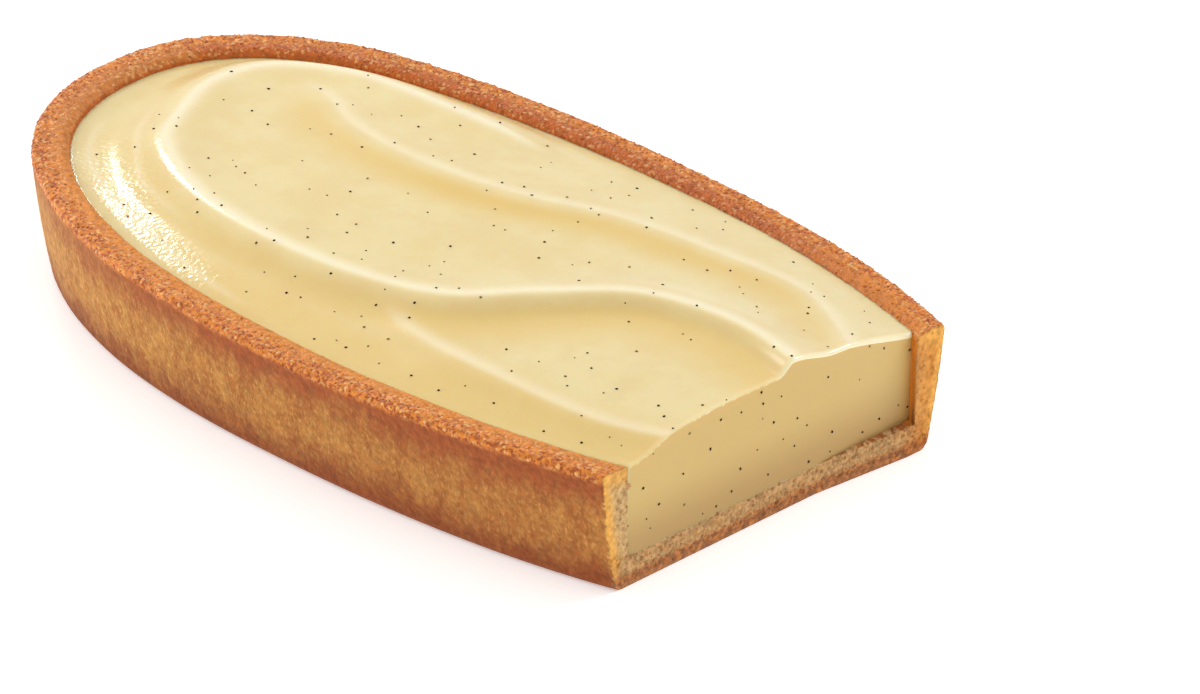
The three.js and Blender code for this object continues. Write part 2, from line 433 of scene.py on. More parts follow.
def through_tree(source: Object, nodes: Nodes, values: dict[str, Any], name: str) -> Object:
    """Sends a piece through a geometry tree and keeps the result as a plain mesh.

    Args:
        source: The piece that goes in. It is removed.
        nodes: The tree.
        values: Values for the tree's inputs, by name.
        name: Name of the new piece.

    Returns:
        The new piece.
    """
    modifier = source.modifiers.new("shape", "NODES")
    modifier.node_group = nodes.tree
    for item in nodes.tree.interface.items_tree:
        if item.in_out == "INPUT" and item.name in values:
            modifier[item.identifier] = values[item.name]
    depsgraph = bpy.context.evaluated_depsgraph_get()
    evaluated = source.evaluated_get(depsgraph)
    mesh = bpy.data.meshes.new_from_object(evaluated, preserve_all_data_layers=True, depsgraph=depsgraph)
    source.modifiers.remove(modifier)
    bpy.data.objects.remove(source)
    mesh.name = name
    return linked(name, mesh)


def crust_relief_tree() -> Nodes:
    """Builds the tree that roughens baked pastry, as deep as its relief weight says.

    Returns:
        The tree, with soft lumps and sandy grains.
    """
    sizes = ("Lump size", "Lump depth", "Grain size", "Grain depth")
    sockets = {"Geometry": "Geometry", **dict.fromkeys(sizes, "Float"), "Material": "Material"}
    nodes, given, result = new_tree("Crust relief", "GeometryNodeTree", sockets, {"Geometry": "Geometry"})
    position = nodes.add("GeometryNodeInputPosition").outputs[0]
    depths = []
    for part in ("Lump", "Grain"):
        scale = nodes.sum("DIVIDE", 1.0, given[part + " size"])
        noise = nodes.noise(position, scale, detail=1.0)[0]
        centred = nodes.sum("SUBTRACT", noise, 0.5)
        depths.append(nodes.sum("MULTIPLY", centred, given[part + " depth"]))
    depth = nodes.sum("MULTIPLY", nodes.sum("ADD", *depths), nodes.field(Weight.RELIEF))
    # The grain's height is kept as the tone, from which the pastry's finish paints shade in the hollows and
    # light on the bumps.
    grain_toned = nodes.toned(given["Geometry"], noise)
    rough = nodes.moved(grain_toned, nodes.add("GeometryNodeInputNormal").outputs[0], depth)
    whole = nodes.add("GeometryNodeRealizeInstances", {"Geometry": rough}).outputs[0]
    dressed = nodes.add("GeometryNodeSetMaterial", {0: whole, "Material": given["Material"]})
    nodes.set(result, {0: dressed.outputs[0]})
    return nodes


def scatter_tree() -> Nodes:
    """Builds the tree that strews small uneven grains over a surface, as thick as its scatter weight says.

    Returns:
        The tree.
    """
    lump_size = 0.4
    numbers = ("Density", "Spacing", "Smallest", "Largest", "Length", "Sink", "Unevenness")
    sockets = {"Surface": "Geometry", **dict.fromkeys(numbers, "Float")}
    sockets |= {"Seed": "Int", "Smooth": "Bool", "Material": "Material"}
    nodes, given, result = new_tree("Scattered grains", "GeometryNodeTree", sockets, {"Geometry": "Geometry"})

    def drawn(stream: float, inputs: dict[int, Any], kind: str = "FLOAT") -> Node:
        """Draws a value for each point, from the stream with the given number."""
        seed = nodes.sum("ADD", given["Seed"], stream)
        return nodes.add("FunctionNodeRandomValue", {**inputs, 8: seed}, data_type=kind)

    strewn = nodes.add(
        "GeometryNodeDistributePointsOnFaces",
        {
            "Mesh": given["Surface"],
            "Distance Min": given["Spacing"],
            "Density Max": given["Density"],
            "Density Factor": nodes.field(Weight.SCATTER),
            "Seed": given["Seed"],
        },
        distribute_method="POISSON",
    )
    size = drawn(0.0, {2: given["Smallest"], 3: given["Largest"]}).outputs[1]
    tone = drawn(1.0, {2: 0.0, 3: 1.0}).outputs[1]
    turn = drawn(2.0, {0: (0.0, 0.0, 0.0), 1: (2 * math.pi,) * 3}, "FLOAT_VECTOR").outputs[0]
    sunk = nodes.sum("MULTIPLY", nodes.sum("MULTIPLY", size, given["Sink"]), -1.0)
    points = nodes.toned(nodes.moved(strewn.outputs["Points"], strewn.outputs["Normal"], sunk), tone)
    grain = nodes.add("GeometryNodeMeshIcoSphere", {"Radius": 0.5, "Subdivisions": 1}).outputs[0]
    longer = nodes.sum("MULTIPLY", size, given["Length"])
    scale = nodes.add("ShaderNodeCombineXYZ", {0: longer, 1: size, 2: size}).outputs[0]
    placing = {"Points": points, "Instance": grain, "Rotation": turn, "Scale": scale}
    placed = nodes.add("GeometryNodeInstanceOnPoints", placing).outputs[0]
    whole = nodes.add("GeometryNodeRealizeInstances", {"Geometry": placed}).outputs[0]
    position = nodes.add("GeometryNodeInputPosition").outputs[0]
    noise = nodes.noise(position, 1 / (lump_size * MM), detail=0.0)[1]
    centred = nodes.vector_sum("SUBTRACT", noise, (0.5, 0.5, 0.5))
    uneven = nodes.moved(whole, centred, given["Unevenness"])
    shaded = nodes.add("GeometryNodeSetShadeSmooth", {0: uneven, "Shade Smooth": given["Smooth"]}).outputs[0]
    dressed = nodes.add("GeometryNodeSetMaterial", {0: shaded, "Material": given["Material"]})
    nodes.set(result, {0: dressed.outputs[0]})
    return nodes


def mottle_group() -> bpy.types.NodeTree:
    """Builds the shader group for uneven patches of colour.

    Returns:
        The group, with one mask.
    """
    sockets = {"Vector": "Vector", "Scale": "Float", "Low": "Float", "High": "Float"}
    nodes, given, result = new_tree("Mottle", "ShaderNodeTree", sockets, {"Mask": "Float"})
    noise = nodes.noise(given["Vector"], given["Scale"], detail=3.0, roughness=0.6)[0]
    nodes.set(result, {"Mask": nodes.ramp(noise, given["Low"], given["High"])})
    return nodes.tree


def grain_group() -> bpy.types.NodeTree:
    """Builds the shader group for fine grain.

    Returns:
        The group, with a height for bump and a speck value that differs grain by grain.
    """
    sockets = {"Vector": "Vector", "Scale": "Float"}
    outputs = {"Height": "Float", "Speck": "Float"}
    nodes, given, result = new_tree("Fine grain", "ShaderNodeTree", sockets, outputs)
    cell_depth = 0.7
    cells = nodes.add("ShaderNodeTexVoronoi", {name: given[name] for name in sockets})
    noise = nodes.noise(given["Vector"], given["Scale"], detail=2.0)[0]
    height = nodes.sum("SUBTRACT", noise, nodes.sum("MULTIPLY", cells.outputs["Distance"], cell_depth))
    speck = nodes.add("ShaderNodeSeparateColor", {0: cells.outputs["Color"]}).outputs[0]
    nodes.set(result, {"Height": height, "Speck": speck})
    return nodes.tree


@dataclass(frozen=True)
class Effects:
    """The shader groups that several finishes share."""

    mottle: bpy.types.NodeTree
    grain: bpy.types.NodeTree


@dataclass(frozen=True)
class Mottle:
    """Uneven patches: their size, and the noise values between which they fade in."""

    size: float
    low: float
    high: float


class Surface(Nodes):
    """The nodes of a new material, with its shader and the place on the piece."""

    def __init__(self, name: str) -> None:
        """Starts the material.

        Args:
            name: Name of the material.
        """
        self.material = bpy.data.materials.new(name)
        self.material.use_nodes = True
        super().__init__(self.material.node_tree)
        self.shader = self.tree.nodes["Principled BSDF"]
        self.place = self.add("ShaderNodeTexCoord").outputs["Object"]

    def mask(self, effects: Effects, mottle: Mottle, vector: Socket | None = None) -> Socket:
        """Adds uneven patches, at the place on the piece or at another vector."""
        inputs = {"Vector": vector or self.place, "Scale": 1 / (mottle.size * MM)}
        inputs |= {"Low": mottle.low, "High": mottle.high}
        return self.add("ShaderNodeGroup", inputs, node_tree=effects.mottle).outputs[0]

    def grain(self, effects: Effects, size: float) -> Any:
        """Adds fine grain of the given size."""
        inputs = {"Vector": self.place, "Scale": 1 / (size * MM)}
        return self.add("ShaderNodeGroup", inputs, node_tree=effects.grain).outputs

    def bump(self, height: Socket, strength: Any, distance: float) -> Socket:
        """Adds bump of the given depth."""
        inputs = {"Height": height, "Strength": strength, "Distance": distance * MM}
        return self.add("ShaderNodeBump", inputs).outputs[0]


@dataclass(frozen=True)
class BakedPastry:
    """Baked shortcrust: red-brown under the rim, golden on the wall, dark at the foot, pale where cut, with
    painted shade and glints.
    """

    effects: Effects
    gold: Colour = shade(196, 139, 63)
    tan: Colour = shade(172, 106, 41)
    fleck: Colour = shade(222, 178, 104)
    red_brown: Colour = shade(155, 74, 31)
    foot_brown: Colour = shade(129, 56, 18)
    rim_orange: Colour = shade(222, 132, 49)
    rim_dark: Colour = shade(178, 88, 36)
    rim_gold: Colour = shade(219, 133, 46)
    rim_far_shade: Colour = shade(200, 119, 48)
    rim_pit_and_hollow_shade: Colour = shade(150, 62, 22)
    rim_glint_highlight: Colour = shade(252, 207, 136)
    inner_brown_shaded: Colour = shade(189, 97, 36)
    crumb_pale: Colour = shade(208, 173, 119)
    crumb_dark: Colour = shade(190, 147, 92)
    crumb_orange: Colour = shade(215, 143, 59)
    base_brown: Colour = shade(132, 62, 22)
    base_orange: Colour = shade(188, 104, 42)
    strip_gold: Colour = shade(238, 174, 78)
    streaks: Triple = (1.0, 1.0, 0.42)
    wall_patches: Mottle = Mottle(2.2, 0.3, 0.7)
    wall_flecks: Mottle = Mottle(0.42, 0.46, 0.86)
    crumb_patches: Mottle = Mottle(0.7, 0.4, 0.62)
    base_patches: Mottle = Mottle(0.9, 0.42, 0.6)
    band_waves: tuple[tuple[Mottle, float], ...] = (
        (Mottle(9.0, 0.3, 0.7), 0.9),
        (Mottle(2.0, 0.3, 0.7), 1.0),
    )
    foot_band: Pair = (0.5, 9.0)
    foot_share: float = 0.85
    top_band: Pair = (11.5, 18.5)
    browner: Pair = (-70 * MM, 0 * MM)
    browner_shares: Pair = (0.4, 0.9)
    redder: Pair = (-55 * MM, 60 * MM)
    redder_share: float = 0.3
    painted_far_shade_way: Triple = (0.5, -0.85, 0.0)
    painted_far_shade_fade: Pair = (-25 * MM, 5 * MM)
    sand_size: float = 0.5
    sand_specks: Pair = (0.1, 0.6)
    inner_rim: Pair = (0.0, 0.5)
    inner_wall: Pair = (0.48, 0.7)
    orange_from: Pair = (24 * MM, 33 * MM)
    base_share: float = 0.75
    tones: Pair = (0.3, 0.7)
    tone_and_hollow_shade_range: Pair = (0.82, 1.18)
    grain_size: float = 0.45
    pit_tones: Pair = (0.26, 0.42)
    pit_share: float = 0.45
    pits_on_cut: float = 0.25
    glint_specks: Pair = (0.75, 1.0)
    glint_share: float = 0.55
    glint_fade: Pair = (0.2, 0.6)
    far_glints: float = 0.75
    bump_strength: float = 0.55
    bump_depth: float = 0.25
    roughness: Pair = (0.62, 0.34)
    specular: float = 0.25

    def material(self) -> Material:
        """Builds the material.

        Returns:
            The material, which reads the weights of the pastry.
        """
        nodes = Surface("baked pastry")
        rim, tone, cut = (nodes.weight(weight) for weight in (Weight.RIM, Weight.TONE, Weight.CUT))
        # Painted shade: the far side is painted darker, fading out towards the near side.
        ways = {0: nodes.place, 1: self.painted_far_shade_way}
        near = nodes.add("ShaderNodeVectorMath", ways, operation="DOT_PRODUCT").outputs["Value"]
        near = nodes.ramp(near, *self.painted_far_shade_fade)
        colour = nodes.blend(cut, self._baked(nodes, rim, near), self._crumb(nodes))
        # Painted shade and light from the tone: on the crust it is the grain's height, so hollows are painted
        # darker and bumps lighter, with dark pits; on strewn grains the tone is random.
        tone_and_hollow_shade = nodes.ramp(tone, *self.tones, *self.tone_and_hollow_shade_range)
        grey = nodes.add("ShaderNodeCombineColor", dict.fromkeys(range(3), tone_and_hollow_shade)).outputs[0]
        colour = nodes.blend(1.0, colour, grey, "MULTIPLY")
        fine = nodes.grain(self.effects, self.grain_size)
        grainy = nodes.sum("MAXIMUM", rim, nodes.sum("MULTIPLY", cut, self.pits_on_cut))
        dark_pits_and_hollow_shade = nodes.sum("MULTIPLY", nodes.ramp(tone, *self.pit_tones, self.pit_share, 0.0), grainy)
        colour = nodes.blend(dark_pits_and_hollow_shade, colour, self.rim_pit_and_hollow_shade)
        # Painted glints: pale specks on the rim stand in for highlights, with more of them on the far side.
        outer_rim = nodes.ramp(nodes.weight(Weight.INSIDE), *self.glint_fade, 1.0, 0.0)
        far_rim = nodes.ramp(near, 0.0, 1.0, self.far_glints, 0.0)
        on_top = nodes.sum("MULTIPLY", rim, nodes.sum("MAXIMUM", outer_rim, far_rim))
        glints = nodes.ramp(fine["Speck"], *self.glint_specks, 0.0, self.glint_share)
        colour = nodes.blend(nodes.sum("MULTIPLY", glints, on_top), colour, self.rim_glint_highlight)
        dressing = {
            "Base Color": colour,
            "Roughness": nodes.ramp(rim, 0.0, 1.0, *self.roughness),
            "Normal": nodes.bump(fine["Height"], self.bump_strength, self.bump_depth),
            "Specular IOR Level": self.specular,
        }
        nodes.set(nodes.shader, dressing)
        return nodes.material

    def _baked(self, nodes: Surface, rim: Socket, near: Socket) -> Socket:
        """Colours of the baked surface: wall, rim and inner wall.

        Args:
            nodes: The material's nodes.
            rim: How much a place is on the rim.
            near: 0 on the far side of the tart and 1 on the near side; it fades out the far side's painted
                shade and extra painted glints.

        Returns:
            The colour.
        """
        streaked = nodes.vector_sum("MULTIPLY", nodes.place, self.streaks)
        wall = nodes.blend(nodes.mask(self.effects, self.wall_patches, streaked), self.gold, self.tan)
        wall = nodes.blend(nodes.mask(self.effects, self.wall_flecks, streaked), wall, self.fleck)
        height = nodes.sum("DIVIDE", nodes.axis(nodes.place, 2), MM)
        for mottle, reach in self.band_waves:
            wave = nodes.ramp(nodes.mask(self.effects, mottle, streaked), 0.0, 1.0, -reach, reach)
            height = nodes.sum("ADD", height, wave)
        wall = nodes.blend(nodes.ramp(height, *self.foot_band, self.foot_share, 0.0), wall, self.foot_brown)
        along = nodes.axis(nodes.place, 0)
        towards_cut = nodes.ramp(along, *self.browner, *self.browner_shares)
        browning = nodes.sum("MULTIPLY", nodes.ramp(height, *self.top_band), towards_cut)
        # The wall turns redder towards the cut; this is partly painted shade, away from the light on the
        # left.
        redder_and_shaded = nodes.ramp(along, *self.redder, 0.0, self.redder_share)
        for share in (browning, redder_and_shaded):
            wall = nodes.blend(share, wall, self.red_brown)
        sandy = nodes.ramp(nodes.grain(self.effects, self.sand_size)["Speck"], *self.sand_specks)
        baked = nodes.blend(rim, wall, nodes.blend(sandy, self.rim_dark, self.rim_orange))
        inside = nodes.weight(Weight.INSIDE)
        # The inner rim takes a darker red as painted shade on the far side; the inner wall's brown is partly
        # painted shade.
        inner_rim = nodes.blend(near, self.rim_far_shade, self.rim_gold)
        baked = nodes.blend(nodes.ramp(inside, *self.inner_rim), baked, inner_rim)
        return nodes.blend(nodes.ramp(inside, *self.inner_wall), baked, self.inner_brown_shaded)

    def _crumb(self, nodes: Surface) -> Socket:
        """Colours of the section: pale crumb, golden at the outside and browned at the bottom.

        Args:
            nodes: The material's nodes.

        Returns:
            The colour.
        """
        crumb = nodes.blend(nodes.mask(self.effects, self.crumb_patches), self.crumb_pale, self.crumb_dark)
        across = nodes.axis(nodes.place, 1)
        crumb = nodes.blend(nodes.ramp(across, *self.orange_from), crumb, self.crumb_orange)
        crumb = nodes.blend(nodes.weight(Weight.STRIP), crumb, self.strip_gold)
        browned = nodes.blend(nodes.mask(self.effects, self.base_patches), self.base_brown, self.base_orange)
        share = nodes.sum("MULTIPLY", nodes.weight(Weight.BROWNED), self.base_share)
        return nodes.blend(share, crumb, browned)


@dataclass(frozen=True)
class SetCream:
    """Vanilla cream: pale yellow and satin on top, with painted golden shade and highlight lines; duller and
    deeper on the cut face, with painted shade towards its bottom.
    """

    effects: Effects
    pale: Colour = shade(237, 218, 162)
    deep: Colour = shade(234, 211, 152)
    golden_shade: Colour = shade(230, 194, 108)
    ridge_highlight: Colour = shade(255, 243, 212)
    ridge_highlight_share: float = 0.75
    cut_top: Colour = shade(212, 180, 110)
    cut_bottom_shaded: Colour = shade(185, 148, 86)
    cut_levels: Pair = (5 * MM, 16 * MM)
    patches: Mottle = Mottle(9.0, 0.35, 0.65)
    ripple_size: float = 0.8
    ripple_strengths: Pair = (0.05, 0.26)
    ripple_depth: float = 0.2
    roughness: Pair = (0.17, 0.5)
    scatter_share: float = 0.5
    scatter_radius: Colour = (1.0, 0.6, 0.25)
    scatter_depth: float = 2.5

    def material(self) -> Material:
        """Builds the material.

        Returns:
            The material, which reads the weights of the cream.
        """
        nodes = Surface("set cream")
        cut = nodes.weight(Weight.CUT)
        top = nodes.blend(nodes.mask(self.effects, self.patches), self.pale, self.deep)
        # Painted shade: golden under the strokes' lips and along the near side, where the tone weight says.
        top = nodes.blend(nodes.weight(Weight.TONE), top, self.golden_shade)
        # Painted highlight: a pale line along each crest and along the cut's top edge.
        crest = nodes.sum("MULTIPLY", nodes.weight(Weight.CREST), self.ridge_highlight_share)
        top = nodes.blend(crest, top, self.ridge_highlight)
        level = nodes.axis(nodes.place, 2)
        # Painted shade: the cut face darkens towards the bottom.
        face = nodes.blend(nodes.ramp(level, *self.cut_levels), self.cut_bottom_shaded, self.cut_top)
        ripple = nodes.ramp(nodes.weight(Weight.RELIEF), 0.0, 1.0, *self.ripple_strengths)
        height = nodes.grain(self.effects, self.ripple_size)["Height"]
        dressing = {
            "Base Color": nodes.blend(cut, top, face),
            "Roughness": nodes.ramp(cut, 0.0, 1.0, *self.roughness),
            "Normal": nodes.bump(height, ripple, self.ripple_depth),
            "Subsurface Weight": self.scatter_share,
            "Subsurface Radius": self.scatter_radius,
            "Subsurface Scale": self.scatter_depth * MM,
        }
        nodes.set(nodes.shader, dressing)
        return nodes.material


@dataclass(frozen=True)
class VanillaSpeck:
    """Vanilla seeds: dark brown, some of them paler under a film of cream."""

    dark: Colour = shade(44, 30, 16)
    filmed: Colour = shade(150, 124, 84)
    film_tones: Pair = (0.6, 1.0)
    roughness: float = 0.8
    specular: float = 0.1

    def material(self) -> Material:
        """Builds the material.

        Returns:
            The material, which reads the tone of each seed.
        """
        nodes = Surface("vanilla speck")
        film = nodes.ramp(nodes.weight(Weight.TONE), *self.film_tones)
        dressing = {
            "Base Color": nodes.blend(film, self.dark, self.filmed),
            "Roughness": self.roughness,
            "Specular IOR Level": self.specular,
        }
        nodes.set(nodes.shader, dressing)
        return nodes.material


@dataclass(frozen=True)
class PressedPlace:
    """A place where the outline is pressed in, or bulges out if the depth is negative.

    Its place and width are shares of the way round the oval.
    """

    at: float
    depth: float
    width: float


@dataclass(frozen=True)
class OvalPlan:
    """The tart from above: an oval, fuller than an ellipse, pressed in at one side, with one end cut off."""

    round_end: float = 75.2
    cut_away_end: float = 103.7
    half_width: float = 44.2
    power: float = 2.23
    cut: float = 66.4
    broken_out: float = 1.75
    broken_from: Pair = (10.0, 28.0)
    pressed: tuple[PressedPlace, ...] = (
        PressedPlace(at=0.289, depth=2.3, width=0.119),
        PressedPlace(at=0.438, depth=-1.3, width=0.124),
    )

    def shift(self) -> float:
        """Way along X that brings the middle of what is left of the oval to the origin."""
        return (self.round_end - self.cut) / 2

    def end(self, along: Array) -> Array:
        """Length from the widest place to the end on the side given by the sign."""
        return np.where(along < 0, self.round_end, self.cut_away_end)

    def pressed_inset(self, angle: Array, inset: Array | float) -> Array:
        """How far inside the plain oval a ring lies, with what is pressed in.

        Args:
            angle: Angles round the oval.
            inset: How far inside the outline the ring lies.

        Returns:
            The distance at each angle.
        """
        turn = np.mod(angle, 2 * math.pi) / (2 * math.pi)
        depths = [p.depth * np.maximum(1 - ((turn - p.at) / p.width) ** 2, 0) ** 3 for p in self.pressed]
        return inset + sum(depths) * (1 - inset / self.half_width)

    def points(self, angle: Array, inset: Array | float) -> Array:
        """Points that lie some way inside the outline.

        Args:
            angle: Angles round the oval.
            inset: How far inside.

        Returns:
            The points, with x and y on the last axis.
        """
        cos, sin = np.cos(angle), np.sin(angle)
        reach = 2 / self.power
        inset = self.pressed_inset(angle, inset)
        x = (self.end(cos) - inset) * np.sign(cos) * np.abs(cos) ** reach
        y = (self.half_width - inset) * np.sign(sin) * np.abs(sin) ** reach
        return np.stack(np.broadcast_arrays(x, y), axis=-1)

    def angle_towards(self, x: Array, y: Array) -> Array:
        """Angles towards which places lie, seen from the middle of the oval."""
        along = np.sign(x) * (np.abs(x) / self.end(x)) ** (self.power / 2)
        return np.arctan2(np.sign(y) * (np.abs(y) / self.half_width) ** (self.power / 2), along)

    def angles(self, shares: Array, inset: Array | float) -> Array:
        """Angles on the way from the near end of the cut, round the far end of the tart, to its other end.

        Args:
            shares: Shares of the way.
            inset: How far inside the outline the way runs.

        Returns:
            The angles.
        """
        whole = self.cut_away_end - inset
        start = np.arccos((self.cut / whole) ** (self.power / 2))
        end = np.arccos(((self.cut + self.broken_out) / whole) ** (self.power / 2))
        return -(start + shares * (2 * math.pi - start - end))

    def even_shares(self, count: int) -> Array:
        """Shares of that way that are evenly spaced along the outline.

        Args:
            count: Number of shares.

        Returns:
            The shares.
        """
        shares = np.linspace(0, 1, 8 * count)
        way = walked(self.points(self.angles(shares, 0.0), 0.0))
        return np.interp(np.linspace(0, way[-1], count), way, shares)

    def cut_line(self, start: float, end: float, step: float) -> Array:
        """Values of y along the cut between two ends, without the ends."""
        return np.linspace(start, end, max(round(abs(end - start) / step), 2) + 1)[1:-1]

    def cut_at(self, across: Array) -> Array:
        """Values of x on the cut, by the values of y. The crust stands out at the far end."""
        return self.cut + np.interp(across, self.broken_from, (0.0, self.broken_out))

    def on_cut(self, across: Array) -> Array:
        """Places on the cut with the given values of y."""
        return np.stack([self.cut_at(across), across], axis=1)


@dataclass(frozen=True)
class PastryShell:
    """The shell of shortcrust: base, wall and rounded rim in one piece, with its section at the cut."""

    plan: OvalPlan
    wall_height: float = 20.1
    wall_thickness: float = 5.8
    wall_lean: float = 2.9
    base_thickness: float = 5.0
    rim_round_outer: float = 0.9
    rim_round_inner: float = 1.4
    foot_round: float = 1.6
    rim_rise: float = 0.8
    rise_side: float = 0.8
    crust_wave: float = 0.18
    crust_waves: tuple[Triple, ...] = ((0.5, 5, 1), (0.3, 11, 2), (0.2, 23, 0))
    lowest_seen: float = 15.0
    columns: int = 780
    step: float = 0.4
    base_step: float = 1.4
    hidden_step: float = 4.0
    lump_size: float = 3.2
    lump_depth: float = 0.3
    grain_size: float = 0.75
    grain_depth: float = 0.42
    rim_fade_inside: Pair = (0.5, 1.5)
    rim_fade_outside: Pair = (0.6, 1.6)
    foot_fade: Pair = (1.5, 4.5)
    inner_edge: Pair = (0.8, 4.8)
    far_side: Pair = (2.0, 18.0)
    far_shade_band: Pair = (2.4, 3.6)
    far_shade_band_share: float = 0.75
    far_shade_band_fade: Pair = (10.0, 55.0)
    far_shade_band_loss: float = 0.25
    beside_cream_end: Pair = (-0.5, 0.3)
    bare_loss: float = 0.55
    relief_shares: tuple[float, float, float, float] = (0.55, 0.45, 0.4, 0.3)
    relief_from: Pair = (0.4, 2.0)
    strip_depth: Pair = (0.4, 2.7)
    strip_from: Pair = (1.0, 4.0)
    strip_top: Pair = (3.2, 0.6)
    strip_top_share: float = 0.8
    browned_edge: Pair = (1.4, 0.8)
    browned_edge_share: float = 0.35
    base_fade: Pair = (-0.5, 2.0)
    browned_base_share: float = 0.3
    browned_bottom: Pair = (1.5, 3.1)
    section_relief: Pair = (0.3, 0.7)
    section_relief_from: Pair = (0.0, 0.8)
    inner_sand_loss: float = 1.8
    inner_sand_limit: float = 0.5
    far_sand: float = 0.7
    strip_crumb_loss: float = 0.8
    lowest_crumb: float = 0.8
    wall_crumbs: Pair = (5.0, 8.0)
    wall_crumb_loss: float = 0.65

    def risen(self, level: Array | float, places: Array) -> Array:
        """Heights that follow the rise of the rim towards the cut's near corner, more the higher they are.

        Args:
            level: Heights without the rise.
            places: Their places, with x and y first on the last axis.

        Returns:
            The heights with the rise.
        """
        towards_cut = smoothstep(places[..., 0], 0, self.plan.cut)
        towards_side = smoothstep(-places[..., 1] / self.plan.half_width, 0, self.rise_side)
        return level * (1 + self.rim_rise / self.wall_height * towards_cut * towards_side)

    def _wave(self, angle: Array, phase: float) -> Array:
        """A wave that closes on itself round the oval."""
        return sum(share * np.sin(turns * angle + shift * phase) for share, turns, shift in self.crust_waves)

    def _section(self) -> tuple[Array, Array]:
        """The section from the foot over the rim to the floor.

        Returns:
            Distance in from the outline and height of each point, and which points are past the rim's middle.
        """
        height, thickness = self.wall_height, self.wall_thickness
        outer, inner, foot = self.rim_round_outer, self.rim_round_inner, self.foot_round
        inner_start = height - inner
        bend = (self.wall_lean / 3, height / 2)
        outside = [
            arc((self.wall_lean + foot, foot), foot, -math.pi / 2, -math.pi, self.step),
            line((self.wall_lean, foot), (0, height - outer), self.step, bend),
            arc((outer, height - outer), outer, math.pi, math.pi / 2, self.step),
        ]
        inside = [
            line((outer, height), (thickness - inner, height), self.step),
            arc((thickness - inner, inner_start), inner, math.pi / 2, 0, self.step),
            line((thickness, inner_start), (thickness, self.lowest_seen), self.step),
            line((thickness, self.lowest_seen), (thickness, self.base_thickness), self.hidden_step),
            np.array([(thickness, self.base_thickness)]),
        ]
        rows = np.concatenate(outside + inside)
        past_rim = np.arange(len(rows)) >= sum(len(part) for part in outside)
        return rows, past_rim

    def _wall(self) -> tuple[Array, Weights]:
        """The surface from the foot over the rim to the floor.

        Returns:
            Its points by row, column and axis, and its weights.
        """
        rows, past_rim = self._section()
        inset, level, past = rows[:, :1], rows[:, 1:], past_rim[:, None]
        shares = self.plan.even_shares(self.columns)
        angle = self.plan.angles(shares, inset)
        outward = np.clip(1 - inset / self.wall_thickness, 0, 1)
        upward = smoothstep(level, self.wall_height / 2, self.wall_height)
        wavy_inset = inset + outward * self.crust_wave * self._wave(angle, 1)
        flat = self.plan.points(self.plan.angles(shares, wavy_inset), wavy_inset)
        lifted = level + self.crust_wave * upward * self._wave(angle, 4)
        points = np.concatenate([flat, self.risen(lifted, flat)[..., None]], axis=-1)
        return points, self._wall_weights(inset, level, past, flat)

    def _wall_weights(self, inset: Array, level: Array, past: Array, flat: Array) -> Weights:
        """Weights of the surface from the foot over the rim to the floor.

        Args:
            inset: Distance of each row in from the outline.
            level: Height of each row.
            past: Which rows are past the rim's middle.
            flat: Places from above, by row, column and axis.

        Returns:
            The weights.
        """
        below = self.wall_height - level
        off_rim = smoothstep(below, *self.rim_fade_inside)
        rim = 1 - np.where(past, off_rim, smoothstep(below, *self.rim_fade_outside))
        foot = np.where(past, 0, 1 - smoothstep(level, *self.foot_fade))
        inner = np.where(past, (smoothstep(inset, *self.inner_edge) + off_rim) / 2, 0)
        # Painted shade: a band of the far side's rim gets the inside weight, so its finish turns to the inner
        # wall's darker brown; it thins towards the cut.
        on_far_side = smoothstep(flat[..., 1], *self.far_side)
        far_shade_band = self.far_shade_band_share * smoothstep(inset, *self.far_shade_band) * on_far_side
        far_shade_band = far_shade_band * (1 - self.far_shade_band_loss * smoothstep(flat[..., 0], *self.far_shade_band_fade))
        inside = np.where(past, np.maximum(inner, far_shade_band), 0)
        cream_end = [self.plan.cut + way for way in self.beside_cream_end]
        inside = inside * (1 - self.bare_loss * smoothstep(flat[..., 0], *cream_end))
        everywhere, at_rim, at_foot, lost_inside = self.relief_shares
        relief = everywhere + at_rim * rim * (1 - inner) + at_foot * foot - lost_inside * inner
        relief = relief * smoothstep(level, *self.relief_from)
        return {Weight.RIM: rim, Weight.INSIDE: inside, Weight.RELIEF: relief}

    def _section_weights(self, points: Array, outer_wall: Array) -> Weights:
        """Weights of the section at the cut.

        Args:
            points: Points of the section.
            outer_wall: Points of the outer wall at the cut, from the foot up.

        Returns:
            The weights.
        """
        y, z = np.abs(points[:, 1]), points[:, 2]
        depth = np.interp(z, outer_wall[:, 2], np.abs(outer_wall[:, 1])) - y
        strip = (1 - smoothstep(depth, *self.strip_depth)) * smoothstep(z, *self.strip_from)
        at_top = smoothstep(z, *(self.wall_height - below for below in self.strip_top))
        strip = np.maximum(strip, self.strip_top_share * at_top)
        beside_cream = smoothstep(depth, *(self.wall_thickness - way for way in self.browned_edge))
        beside_cream = beside_cream * smoothstep(z, self.base_thickness, self.base_thickness + 1)
        in_base = 1 - smoothstep(z, *(self.base_thickness + way for way in self.base_fade))
        browned = np.maximum(self.browned_edge_share * beside_cream, self.browned_base_share * in_base)
        browned = np.maximum(browned, 1 - smoothstep(z, *self.browned_bottom))
        least, more = self.section_relief
        relief = smoothstep(z, *self.section_relief_from) * (least + more * in_base)
        return {Weight.CUT: 1.0, Weight.RELIEF: relief, Weight.STRIP: strip, Weight.BROWNED: browned}

    def rim_scatter(self, weights: Weights, points: Array) -> Array:
        """How thick grains lie: on the rim, with fewer at its inner edge on the near side."""
        outer = 1 - self.inner_sand_loss * np.minimum(weights[Weight.INSIDE], self.inner_sand_limit)
        far = self.far_sand * smoothstep(points[:, 1], *self.far_side)
        return weights[Weight.RIM] * np.maximum(outer, far)

